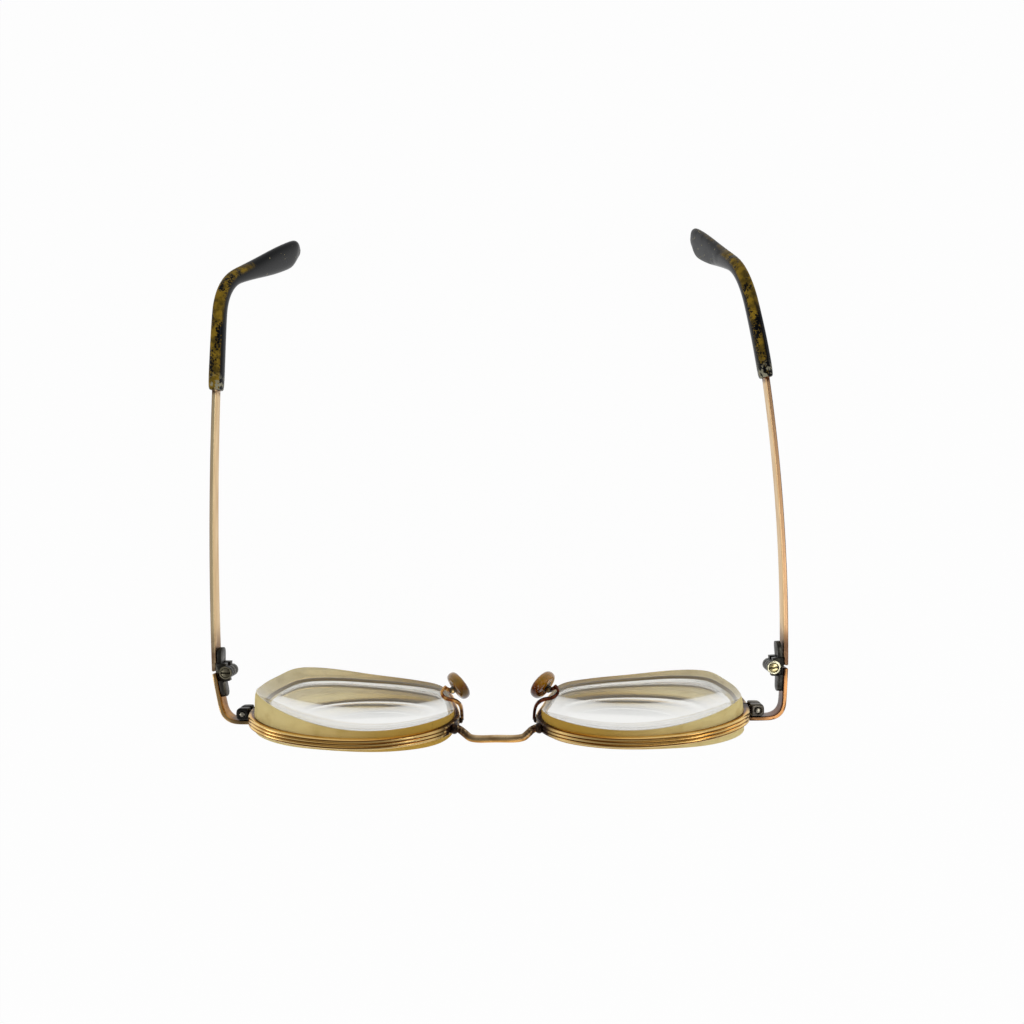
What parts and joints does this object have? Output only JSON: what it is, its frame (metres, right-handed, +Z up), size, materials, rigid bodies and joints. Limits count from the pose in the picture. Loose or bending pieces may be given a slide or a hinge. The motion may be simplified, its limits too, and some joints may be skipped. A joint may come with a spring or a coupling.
{
  "type": "eyeglass frame",
  "caption": "Full-rim metal eyeglasses with grooved rims, thick minus lenses, folding temples with plastic ear tips, and rocking nose pads.",
  "frame": {"origin": "under the middle of the part's box, on the surface that its rims and tips stand on", "axes": "+X to the wearer's left, +Y to the back along the open temples, +Z up"},
  "size_m": [0.1416, 0.1358, 0.0438],
  "materials": {
    "gold": "worn polished gold plating, darker in its grooves",
    "bronze": "worn plating, coppery brown where it has rubbed through",
    "champagne": "satin champagne inside, darker at its edges",
    "dark_metal": "dull, blackened with age",
    "screw_metal": "bare turned metal",
    "lens_glass": "clear and polished, with a ground frosted edge",
    "amber_plastic": "clear amber, yellowed and hazed",
    "black_plastic": "glossy black with a worn olive-gold film"
  },
  "bodies": {
    "front": {"bridge": "bronze", "right_rim": "gold", "left_rim": "gold", "right_lens": "lens_glass", "left_lens": "lens_glass", "right_upper_block": "dark_metal", "left_upper_block": "dark_metal", "right_lower_block": "dark_metal", "left_lower_block": "dark_metal", "right_closing_screw": "screw_metal", "left_closing_screw": "screw_metal", "right_endpiece": "bronze", "left_endpiece": "bronze", "right_front_leaf": "dark_metal", "left_front_leaf": "dark_metal", "right_pad_arm": "bronze", "left_pad_arm": "bronze"},
    "right_temple": {"right_temple": "champagne", "right_temple_tip": "black_plastic", "right_temple_leaf": "dark_metal", "right_hinge_screw": "screw_metal"},
    "left_temple": {"left_temple": "champagne", "left_temple_tip": "black_plastic", "left_temple_leaf": "dark_metal", "left_hinge_screw": "screw_metal"},
    "right_pad": {"right_nose_pad": "amber_plastic", "right_pad_mount": "dark_metal", "right_pad_pin": "screw_metal"},
    "left_pad": {"left_nose_pad": "amber_plastic", "left_pad_mount": "dark_metal", "left_pad_pin": "screw_metal"}
  },
  "joints": [
    {"name": "right_temple_fold", "type": "hinge", "parent": "front", "child": "right_temple", "pos_m": [-0.06704, -0.05058, 0.02949], "axis": [0, 0.0616, -0.9981], "range_deg": [-4, 87]},
    {"name": "left_temple_fold", "type": "hinge", "parent": "front", "child": "left_temple", "pos_m": [0.06699, -0.05058, 0.02949], "axis": [0, -0.0616, 0.9981], "range_deg": [-6, 80]},
    {"name": "right_pad_rock", "type": "hinge", "parent": "front", "child": "right_pad", "pos_m": [-0.01233, -0.05757, 0.01974], "axis": [0.2592, 0.1094, 0.9596], "range_deg": [-12, 12]},
    {"name": "left_pad_rock", "type": "hinge", "parent": "front", "child": "left_pad", "pos_m": [0.01289, -0.05757, 0.01974], "axis": [-0.2592, 0.1094, 0.9596], "range_deg": [-12, 12]}
  ]
}
